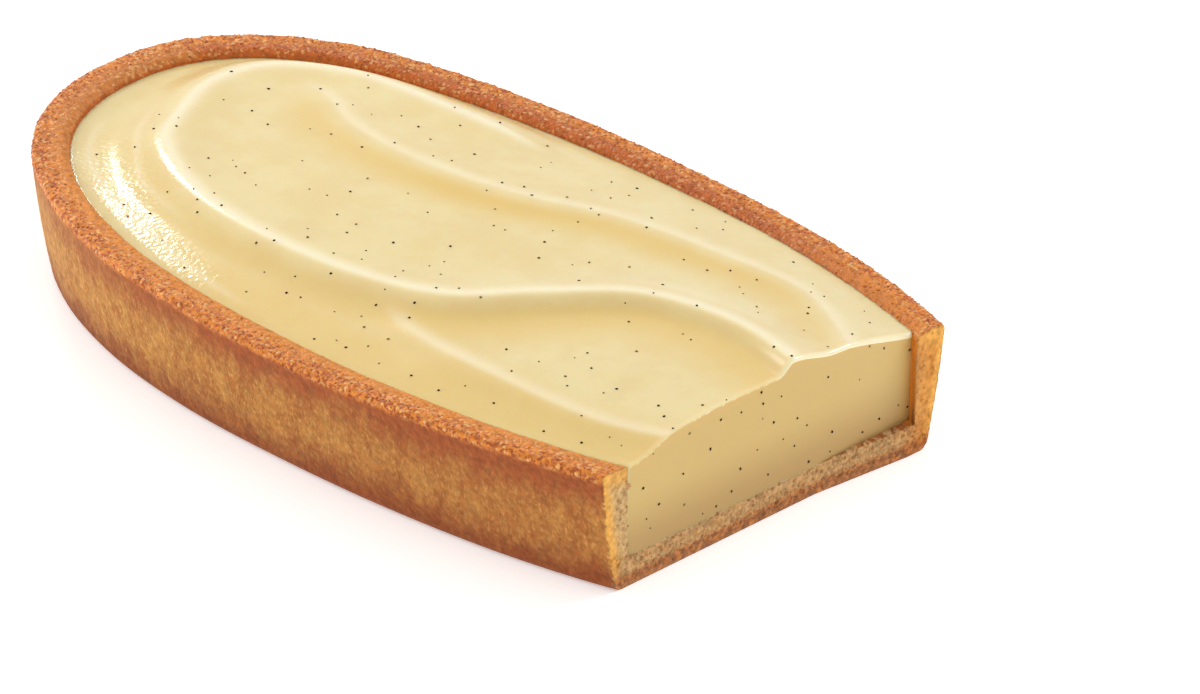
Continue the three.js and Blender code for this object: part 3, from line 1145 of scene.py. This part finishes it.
    def section_scatter(self, weights: Weights, points: Array) -> Array:
        """How thick crumbs lie: on the section, with fewer on its golden strip and on the walls."""
        in_crumb = weights[Weight.CUT] * (1 - self.strip_crumb_loss * weights[Weight.STRIP])
        on_wall = 1 - self.wall_crumb_loss * smoothstep(points[:, 2], *self.wall_crumbs)
        return in_crumb * (points[:, 2] > self.lowest_crumb) * on_wall

    def build(self, relief: Nodes, finish: Material) -> Object:
        """Builds the shell.

        Args:
            relief: Tree that roughens the pastry.
            finish: Material of the pastry.

        Returns:
            The piece.
        """
        plan = self.plan
        wall, weights = self._wall()
        near, far = wall[:, 0], wall[:, -1]
        skin = Skin(tuple(Weight))
        skin.grid(wall, weights)
        foot_line = plan.cut_line(far[0, 1], near[0, 1], self.step)
        floor_line = plan.cut_line(near[-1, 1], far[-1, 1], self.step)
        underside = np.concatenate([wall[0, :, :2], plan.on_cut(foot_line)])
        skin.fill(Drawn.FROM_ABOVE, underside, points_within(underside, self.base_step), lambda flat: 0.0)
        floor = np.concatenate([wall[-1, :, :2], plan.on_cut(floor_line)[::-1]])
        skin.fill(
            Drawn.FROM_ABOVE,
            floor,
            points_within(floor, self.hidden_step),
            lambda flat: self.risen(self.base_thickness, flat),
        )
        floor_levels = self.risen(self.base_thickness, plan.on_cut(floor_line))
        section = np.concatenate(
            [
                near[:, 1:],
                np.stack([floor_line, floor_levels], axis=1),
                far[::-1, 1:],
                np.stack([foot_line, np.zeros_like(foot_line)], axis=1),
            ]
        )
        skin.fill(
            Drawn.ON_CUT,
            section,
            points_within(section, self.step),
            lambda flat: plan.cut_at(flat[:, 0]),
            lambda points: self._section_weights(points, near[: np.argmax(near[:, 2])]),
        )
        plain = skin.piece("pastry_shell_plain", plan.shift())
        values = {
            "Lump size": self.lump_size * MM,
            "Lump depth": self.lump_depth * MM,
            "Grain size": self.grain_size * MM,
            "Grain depth": self.grain_depth * MM,
            "Material": finish,
        }
        return through_tree(plain, relief, values, "pastry_shell_crust")


@dataclass(frozen=True)
class SwirlStroke:
    """One stroke of the spatula. Its crest goes through the places given, with the lip on its right.

    Heights and lip lengths are those at its start and end, shading values (painted shade under the lip) and
    ripple values are spread evenly along it, and the crest's width is that of its painted highlight line on
    the left and on the right.
    """

    height: Pair
    lip: Pair
    crest: tuple[Pair, ...]
    shading: tuple[float, ...]
    shading_length: float
    crest_width: Pair = (1.6, 0.75)
    ripple: tuple[float, ...] = (0.0,)


LONG_STROKE = SwirlStroke(
    height=(1.1, 1.55),
    lip=(6.0, 1.5),
    crest=(
        (-6.6, 30.1), (-28.6, 28.9), (-47.6, 26.6), (-58.1, 19.1), (-60.1, 8.1), (-55.6, -3.4),
        (-50.9, -11), (-34.6, -19.9), (-17.6, -22.5), (0.4, -21.5), (15.4, -16.9), (25.4, -7.2),
        (36.4, 3.2), (51.8, 7), (66.4, 4.7), (84.4, -0.9),
    ),
    shading=(0.0, 0.3, 0.85, 1.0),
    shading_length=17.0,
    ripple=(0.0, 0.0, 0.2, 0.7, 0.5, 0.0, 0.0, 0.0, 0.0, 0.0, 0.0),
)
FAR_STROKE = SwirlStroke(
    height=(0.35, 0.42),
    lip=(4.0, 2.8),
    crest=(
        (-53.6, 18.9), (-44, 17.4), (-34.2, 12.6), (-19.4, 10.7), (-1.6, 13.6), (15, 20.9),
        (31.4, 24.2), (47, 26), (56, 22.8), (66.4, 17), (84.4, 11.1),
    ),
    shading=(0.5, 1.1, 0.9, 0.1),
    shading_length=12.0,
)
NEAR_STROKE = SwirlStroke(
    height=(0.4, 0.5),
    lip=(3.2, 2.0),
    crest=((5.4, -22.4), (14.4, -25.3), (35.4, -26.6), (55.4, -25.4), (66.4, -22.2), (84.4, -15.9)),
    shading=(0.5, 0.6),
    shading_length=9.0,
)
EDGE_STROKE = SwirlStroke(
    height=(0.26, 0.2),
    lip=(2.2, 2.2),
    crest=(
        (-66.6, -5.9), (-62, -15.7), (-55.4, -22.2), (-46, -26.4), (-33.3, -30.8), (-21, -34.2), (-8, -35.8),
    ),
    shading=(0.45, 0.3),
    shading_length=7.0,
    crest_width=(0.8, 0.5),
    ripple=(1.0,),
)
INNER_EDGE_STROKE = replace(
    EDGE_STROKE,
    height=(0.22, 0.2),
    crest=((-62.8, 0.5), (-57.4, -10.2), (-52.8, -15.2), (-46.5, -20.6), (-41.1, -23), (-30, -26)),
)


@dataclass(frozen=True)
class VanillaCream:
    """The filling: domed, swirled on top, and cut with the shell."""

    shell: PastryShell
    strokes: tuple[SwirlStroke, ...] = (LONG_STROKE, FAR_STROKE, NEAR_STROKE, EDGE_STROKE, INNER_EDGE_STROKE)
    drop_at_round_end: float = 1.6
    drop_at_cut: float = 0.4
    drop_curve: float = 0.35
    dome_rise: float = 4.5
    lip_power: float = 2.0
    trough: float = 0.4
    trough_end: Pair = (6.0, 20.0)
    back_length: float = 6.0
    fade: float = 14.0
    lip_shade: Pair = (0.3, 4.0)
    crest_back: float = 0.3
    crest_start: float = 8.0
    clear_height: float = 0.6
    ripple_from: Pair = (-5.0, -1.0)
    ripple_to: Pair = (1.5, 3.5)
    free_of_wall: float = 0.06
    edge_rise: float = 0.25
    edge_rise_length: float = 2.0
    into_crust: float = 0.15
    proud: float = 0.05
    knife_round: float = 0.9
    knife_round_full: Pair = (-4.0, 6.0)
    knife_rows: tuple[float, float, float, float] = (0.08, 0.25, 0.55, 1.0)
    edge_rows: Pair = (0.12, 0.35)
    columns: int = 640
    step: float = 0.5
    cut_step: float = 0.8
    hidden_step: float = 6.0
    crest_points: int = 320
    seed_share: float = 0.6
    seed_limit: Pair = (0.9, 0.97)
    seed_levels: Pair = (5.5, 7.0)
    lip_shade_share: float = 0.75
    near_side_shade_share: float = 0.6
    side_shares: Pair = (0.6, 0.85)
    side_across: Pair = (0.0, 15.0)
    side_along: Pair = (-40.0, -10.0)
    highlight_edge: Pair = (-0.7, -0.3)
    highlight_edge_shares: Pair = (0.3, 0.7)
    highlight_edge_across: Pair = (-2.0, 6.0)

    def _contact_level(self, x: Array) -> Array:
        """Height where the cream meets the wall: near the rim at the cut, lower at the round end.

        Args:
            x: Places along the tart.

        Returns:
            The heights.
        """
        inner_end = self.shell.plan.round_end - self.shell.wall_thickness
        along = np.clip((x + inner_end) / (inner_end + self.shell.plan.cut), 0, 1)
        drop = self.drop_at_cut + (self.drop_at_round_end - self.drop_at_cut) * (1 - along) ** self.drop_curve
        return self.shell.wall_height - drop

    def _share_to_wall(self, x: Array, y: Array) -> Array:
        """How far places lie from the middle of the cream. Past the widest place only the way across counts.

        Args:
            x: Places along the tart.
            y: Places across it.

        Returns:
            0 along the middle and 1 at the wall.
        """
        plan = self.shell.plan
        inset = plan.pressed_inset(plan.angle_towards(x, y), self.shell.wall_thickness)
        along = np.minimum(np.abs(x) / (plan.end(x) - inset), 1) ** plan.power
        across = (np.abs(y) / (plan.half_width - inset)) ** plan.power
        share = np.where(x < 0, along + across, across / np.maximum(1 - along, SAME_POINT))
        return np.minimum(share ** (1 / plan.power), 1)

    def _stroke_section(self, right: Array, lip: Array) -> Array:
        """Section across a stroke of unit height.

        Args:
            right: Distance to the right of its crest.
            lip: Length of the slope under the lip.

        Returns:
            The height.
        """
        back = np.exp(-((np.maximum(-right, 0) / self.back_length) ** self.lip_power))
        front = np.exp(-((np.maximum(right, 0) / lip) ** self.lip_power))
        trough = self.trough * (1 - smoothstep(right, *self.trough_end))
        return np.where(right < 0, back, front - trough * (1 - front))

    def _marks_beside(self, stroke: SwirlStroke, right: Array, along: Array, length: float) -> Array:
        """Marks that one stroke leaves beside its crest.

        Args:
            stroke: The stroke.
            right: Distances to the right of its crest.
            along: Shares of the way along it.
            length: Its length.

        Returns:
            Height, how much painted shade lies under the lip, how much painted highlight lies on the crest,
            and how rippled it is. Each place is a column.
        """

        def spread(values: tuple[float, ...]) -> Array:
            """Values that are spread evenly along the stroke."""
            return np.interp(along, np.linspace(0, 1, len(values)), values)

        from_start, to_end = length * along, length * (1 - along)
        faded = smoothstep(from_start, 0, self.fade) * smoothstep(to_end, 0, self.fade)
        raised = spread(stroke.height) * faded * self._stroke_section(right, spread(stroke.lip))
        shade_under_lip = spread(stroke.shading) * faded * smoothstep(right, *self.lip_shade)
        shade_under_lip = shade_under_lip * (1 - smoothstep(right, self.lip_shade[1], stroke.shading_length))
        clear = min(stroke.height[0] / self.clear_height, 1)
        clear = clear * smoothstep(from_start, 0, self.crest_start)
        width = np.where(right < -self.crest_back, *stroke.crest_width)
        crest_highlight = clear * np.sqrt(faded) * np.exp(-(((right + self.crest_back) / width) ** 2))
        beside_crest = smoothstep(right, *self.ripple_from) * (1 - smoothstep(right, *self.ripple_to))
        rippled = spread(stroke.ripple) * faded * beside_crest
        return np.stack([raised, shade_under_lip, crest_highlight, rippled])

    def _marks(self, stroke: SwirlStroke, places: Array) -> Array:
        """Marks that one stroke leaves on the cream.

        Args:
            stroke: The stroke.
            places: Places on the cream, one a row.

        Returns:
            Height, how much painted shade lies under the lip, how much painted highlight lies on the crest,
            and how rippled it is. Each place is a column.
        """
        crest = smooth_line(stroke.crest, self.crest_points)
        ahead = np.gradient(crest, axis=0)
        ahead /= np.linalg.norm(ahead, axis=1)[:, None]
        length = np.sum(np.linalg.norm(np.diff(crest, axis=0), axis=1))
        found = []
        for part in np.array_split(places, max(len(places) // BLOCK, 1)):
            away = part[:, None] - crest
            nearest = np.argmin(np.sum(away**2, axis=2), axis=1)
            offset, way = away[np.arange(len(part)), nearest], ahead[nearest]
            right = offset[:, 0] * way[:, 1] - offset[:, 1] * way[:, 0]
            found.append(self._marks_beside(stroke, right, nearest / (self.crest_points - 1), length))
        return np.concatenate(found, axis=1)

    def height(self, places: Array) -> Array:
        """Height of the cream's top.

        Args:
            places: Places on the cream, one a row.

        Returns:
            The height at each place.
        """
        x, y = places[:, 0], places[:, 1]
        share = self._share_to_wall(x, y)
        strokes = sum(self._marks(stroke, places)[0] for stroke in self.strokes)
        free = smoothstep(1 - share, 0, self.free_of_wall)
        from_wall = (1 - share) * (self.shell.plan.half_width - self.shell.wall_thickness)
        edge = self.edge_rise * np.exp(-from_wall / self.edge_rise_length)
        radius = self.knife_round * (0.5 + 0.5 * smoothstep(y, *self.knife_round_full))
        from_cut = np.clip(self.shell.plan.cut + self.proud - x, 0, radius)
        worn = radius - np.sqrt(radius**2 - (radius - from_cut) ** 2)
        level = self.shell.risen(self._contact_level(x), places)
        return level + self.dome_rise * (1 - share**2) + free * strokes + edge - worn

    def _edge_inset(self, shares: Array, plan: OvalPlan) -> Array:
        """How far inside the outline the cream's edge lies, just in the crust.

        Args:
            shares: Shares of the way round the cream.
            plan: The cream's own plan.

        Returns:
            The distances.
        """
        shell = self.shell
        beside_wall = plan.points(plan.angles(shares, shell.wall_thickness), shell.wall_thickness)
        into_round = self._contact_level(beside_wall[:, 0]) - (shell.wall_height - shell.rim_round_inner)
        reach = np.sqrt(shell.rim_round_inner**2 - np.maximum(into_round, 0) ** 2)
        return shell.wall_thickness - shell.rim_round_inner + reach - self.into_crust

    def _top_weights(self, points: Array) -> Weights:
        """Weights on top: seeds stay clear of the wall, painted shade lies under the lips and along the near
        side, painted highlight on the crests and the cut's top edge, and some strokes are rippled.

        Args:
            points: Points of the top.

        Returns:
            The weights.
        """
        x, y = points[:, 0], points[:, 1]
        share = self._share_to_wall(x, y)
        marks = [self._marks(stroke, points[:, :2]) for stroke in self.strokes]
        _, shade_under_lip, crest, rippled = np.max(marks, axis=0)
        near_side_shade = smoothstep(share, *self.side_shares) * smoothstep(-y, *self.side_across)
        near_side_shade = near_side_shade * smoothstep(x, *self.side_along)
        at_cut = smoothstep(x, *(self.shell.plan.cut + way for way in self.highlight_edge))
        least, more = self.highlight_edge_shares
        cut_edge_highlight = at_cut * (least + more * smoothstep(y, *self.highlight_edge_across))
        return {
            Weight.SCATTER: self.seed_share * (1 - smoothstep(share, *self.seed_limit)),
            Weight.TONE: np.maximum(self.lip_shade_share * shade_under_lip, self.near_side_shade_share * near_side_shade),
            Weight.CREST: np.maximum(crest, cut_edge_highlight),
            Weight.RELIEF: rippled,
        }

    def build(self, finish: Material) -> Object:
        """Builds the cream.

        Args:
            finish: Material of the cream.

        Returns:
            The piece.
        """
        shell = self.shell
        plan = replace(shell.plan, cut=shell.plan.cut + self.proud, broken_out=0.0)
        shares = plan.even_shares(self.columns)
        inset = self._edge_inset(shares, plan)
        edge = plan.points(plan.angles(shares, inset), inset)
        low_inset = shell.wall_thickness - self.into_crust
        low = plan.points(plan.angles(shares, low_inset), low_inset)
        floor = shell.base_thickness - self.into_crust
        skin = Skin((Weight.CUT, Weight.SCATTER, Weight.TONE, Weight.CREST, Weight.RELIEF))
        edge_points = np.column_stack([edge, self.height(edge)])
        low_points = np.column_stack([low, shell.risen(floor, low)])
        top_line = plan.cut_line(edge[-1, 1], edge[0, 1], self.step)
        low_line = plan.cut_line(low[-1, 1], low[0, 1], self.cut_step)
        top_height = self.height(plan.on_cut(top_line))
        low_height = shell.risen(floor, plan.on_cut(low_line))
        face = np.concatenate(
            [
                edge_points[-1:, 1:],
                np.stack([top_line, top_height], axis=1),
                edge_points[:1, 1:],
                low_points[:1, 1:],
                np.stack([low_line, low_height], axis=1)[::-1],
                low_points[-1:, 1:],
            ]
        )
        beside_edges = [np.stack([top_line, top_height - depth], axis=1) for depth in self.edge_rows]
        beside_edges += [np.stack([low_line, low_height + depth], axis=1) for depth in self.edge_rows]
        skin.fill(
            Drawn.ON_CUT,
            face,
            np.concatenate([*beside_edges, points_within(face, self.cut_step, clear_steps=1.0)]),
            lambda flat: plan.cut,
            lambda points: {Weight.CUT: 1.0, Weight.SCATTER: smoothstep(points[:, 2], *self.seed_levels)},
        )
        skin.grid(np.stack([edge_points, low_points]), {})
        top = np.concatenate([edge, plan.on_cut(top_line)])
        knife_rows = plan.cut - self.knife_round * np.array(self.knife_rows)
        rows = np.stack(np.meshgrid(knife_rows, top_line), axis=-1).reshape(-1, 2)
        inner = points_within(top, self.step)
        inner = inner[inner[:, 0] < knife_rows[-1] - self.step / 2]
        skin.fill(Drawn.FROM_ABOVE, top, np.concatenate([inner, rows]), self.height, self._top_weights)
        bottom = np.concatenate([low, plan.on_cut(low_line)])
        skin.fill(
            Drawn.FROM_ABOVE,
            bottom,
            points_within(bottom, self.hidden_step),
            lambda flat: shell.risen(floor, flat),
        )
        cream = skin.piece("vanilla_cream_filling", shell.plan.shift())
        cream.data.materials.append(finish)
        return cream


@dataclass(frozen=True)
class Strewing:
    """How small pieces are strewn over a surface. The density is pieces a square millimetre."""

    density: float
    spacing: float
    smallest: float
    largest: float
    seed: int
    length: float = 1.0
    sink: float = 0.2
    unevenness: float = 0.0
    facets: Facets = Facets.SHARP

    def strew(self, surface: Object, tree: Nodes, finish: Material, name: str) -> Object:
        """Strews the pieces.

        Args:
            surface: Surface with a scatter weight. It isn't changed.
            tree: Tree that strews grains.
            finish: Material of the pieces.
            name: Name of the new piece.

        Returns:
            All of them as one piece.
        """
        values = {
            "Density": self.density / MM**2,
            "Spacing": self.spacing * MM,
            "Smallest": self.smallest * MM,
            "Largest": self.largest * MM,
            "Length": self.length,
            "Sink": self.sink,
            "Unevenness": self.unevenness * MM,
            "Seed": self.seed,
            "Smooth": self.facets.value,
            "Material": finish,
        }
        return through_tree(linked(name, surface.data.copy()), tree, values, name)


def set_scatter(surface: Object, rule: Callable[[Weights, Array], Array]) -> None:
    """Sets the scatter weight of a surface.

    Args:
        surface: The surface.
        rule: Gives the weight, from the surface's other weights and its points in millimetres.
    """
    mesh = surface.data
    count = len(mesh.vertices)
    weights = {}
    for weight in Weight:
        weights[weight] = np.zeros(count, np.float32)
        mesh.attributes[weight.value].data.foreach_get("value", weights[weight])
    points = np.zeros(count * 3, np.float32)
    mesh.vertices.foreach_get("co", points)
    scatter = rule(weights, points.reshape(-1, 3) / MM)
    mesh.attributes[Weight.SCATTER.value].data.foreach_set("value", scatter.astype(np.float32))


@dataclass(frozen=True)
class SoftLight:
    """A round soft light, aimed at the tart. Its strength is the brightness of a white card that faces it."""

    name: str
    direction: Triple
    diameter: float
    strength: float
    distance: float = 0.9

    def build(self, target: Vector) -> None:
        """Places the light.

        Args:
            target: Point that it is aimed at.
        """
        light = bpy.data.lights.new(self.name, "AREA")
        light.shape = "DISK"
        light.size = self.diameter
        light.energy = self.strength * math.pi**2 * self.distance**2
        lamp = bpy.data.objects.new(self.name, light)
        way = Vector(self.direction).normalized()
        lamp.location = target + way * self.distance
        lamp.rotation_euler = way.to_track_quat("Z", "Y").to_euler()
        bpy.context.scene.collection.objects.link(lamp)


@dataclass(frozen=True)
class Studio:
    """A white floor that glows a little, soft light all round and a long lens that looks down on the cut."""

    azimuth: float = 43.658
    elevation: float = 29.363
    roll: float = 1.408
    distance: float = 4.0
    lens: float = 800.8
    aim: Triple = (29.724, 5.842, 10.0)
    floor_size: float = 6.0
    floor_drop: float = 0.05
    floor_colour: Colour = shade(250, 250, 249)
    floor_roughness: float = 0.9
    floor_glow: float = 0.35
    sky: float = 0.75
    lights: tuple[SoftLight, ...] = (
        SoftLight("key light", (-0.768, 0.393, 0.504), diameter=0.12, strength=0.1),
        SoftLight("edge light", (0.289, 0.744, 0.601), diameter=0.14, strength=0.24),
        SoftLight("front light", (-0.88, -0.4, 0.34), diameter=0.6, strength=0.38),
    )

    def _camera(self) -> None:
        """Sets up the camera."""
        turn, rise, roll = (math.radians(angle) for angle in (self.azimuth, self.elevation, self.roll))
        level = Vector((math.cos(turn), math.sin(turn), 0))
        back = Vector((math.sin(turn) * math.cos(rise), -math.cos(turn) * math.cos(rise), math.sin(rise)))
        upright = back.cross(level)
        right = level * math.cos(roll) + upright * math.sin(roll)
        up = upright * math.cos(roll) - level * math.sin(roll)
        camera = bpy.data.objects.new("camera", bpy.data.cameras.new("camera"))
        camera.data.lens = self.lens
        axes = Matrix((right, up, back)).transposed()
        camera.matrix_world = Matrix.Translation(Vector(self.aim) * MM + back * self.distance) @ axes.to_4x4()
        bpy.context.scene.collection.objects.link(camera)
        bpy.context.scene.camera = camera

    def _floor(self) -> None:
        """Lays the floor, just under the tart. It is clear when seen from below."""
        reach, level = self.floor_size / 2, -self.floor_drop * MM
        corners = [(x * reach, y * reach, level) for x, y in ((-1, -1), (1, -1), (1, 1), (-1, 1))]
        mesh = bpy.data.meshes.new("floor")
        mesh.from_pydata(corners, [], [(0, 1, 2, 3)])
        nodes = Surface("white floor")
        dressing = {
            "Base Color": (*self.floor_colour, 1.0),
            "Roughness": self.floor_roughness,
            "Emission Color": WHITE,
            "Emission Strength": self.floor_glow,
        }
        nodes.set(nodes.shader, dressing)
        from_below = nodes.add("ShaderNodeNewGeometry").outputs["Backfacing"]
        clear = nodes.add("ShaderNodeBsdfTransparent").outputs[0]
        seen = nodes.add("ShaderNodeMixShader", {0: from_below, 1: nodes.shader.outputs[0], 2: clear})
        nodes.set(nodes.tree.nodes["Material Output"], {"Surface": seen.outputs[0]})
        mesh.materials.append(nodes.material)
        linked("floor", mesh)

    def build(self) -> None:
        """Builds the floor, the lights, the sky and the camera."""
        scene = bpy.context.scene
        self._floor()
        for light in self.lights:
            light.build(Vector(self.aim) * MM)
        world = bpy.data.worlds.new("sky")
        world.use_nodes = True
        nodes = Nodes(world.node_tree)
        nodes.set(nodes.tree.nodes["Background"], {"Color": WHITE, "Strength": self.sky})
        scene.world = world
        scene.view_settings.view_transform = "Standard"
        self._camera()


def kept(piece: Object, node: str | None = None) -> None:
    """Hands a finished piece to the frame and reports it.

    Args:
        piece: The piece.
        node: Node that it stands for.
    """
    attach(piece, ROOT)
    if node:
        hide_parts(node)
    log.info("%s: %d faces", piece.name, len(piece.data.polygons))


def main() -> None:
    """Builds the studio, then the tart piece by piece."""
    logging.basicConfig(level=logging.INFO, format="%(name)s %(message)s")
    Studio().build()
    effects = Effects(mottle_group(), grain_group())
    pastry = BakedPastry(effects).material()
    relief, grains = crust_relief_tree(), scatter_tree()

    shell = PastryShell(OvalPlan())
    crust = shell.build(relief, pastry)
    set_scatter(crust, shell.rim_scatter)
    sand = Strewing(
        density=2.2, spacing=0.48, smallest=0.4, largest=0.8, seed=3, sink=0.28, unevenness=0.25
    )
    rim_grains = sand.strew(crust, grains, pastry, "rim_grains")
    set_scatter(crust, shell.section_scatter)
    crumbs = Strewing(density=2.6, spacing=0.36, smallest=0.35, largest=0.95, seed=5, unevenness=0.35)
    cut_crumbs = crumbs.strew(crust, grains, pastry, "cut_crumbs")
    cream = VanillaCream(shell).build(SetCream(effects).material())
    seeding = Strewing(
        density=0.045, spacing=2.0, smallest=0.28, largest=0.52, seed=11, length=1.3, sink=0.15,
        facets=Facets.ROUND,
    )
    seeds = seeding.strew(cream, grains, VanillaSpeck().material(), "vanilla_seeds")

    kept(crust, "pastry_shell")
    kept(rim_grains)
    kept(cut_crumbs)
    kept(cream, "vanilla_cream")
    kept(seeds)


if __name__ == "__main__":
    main()
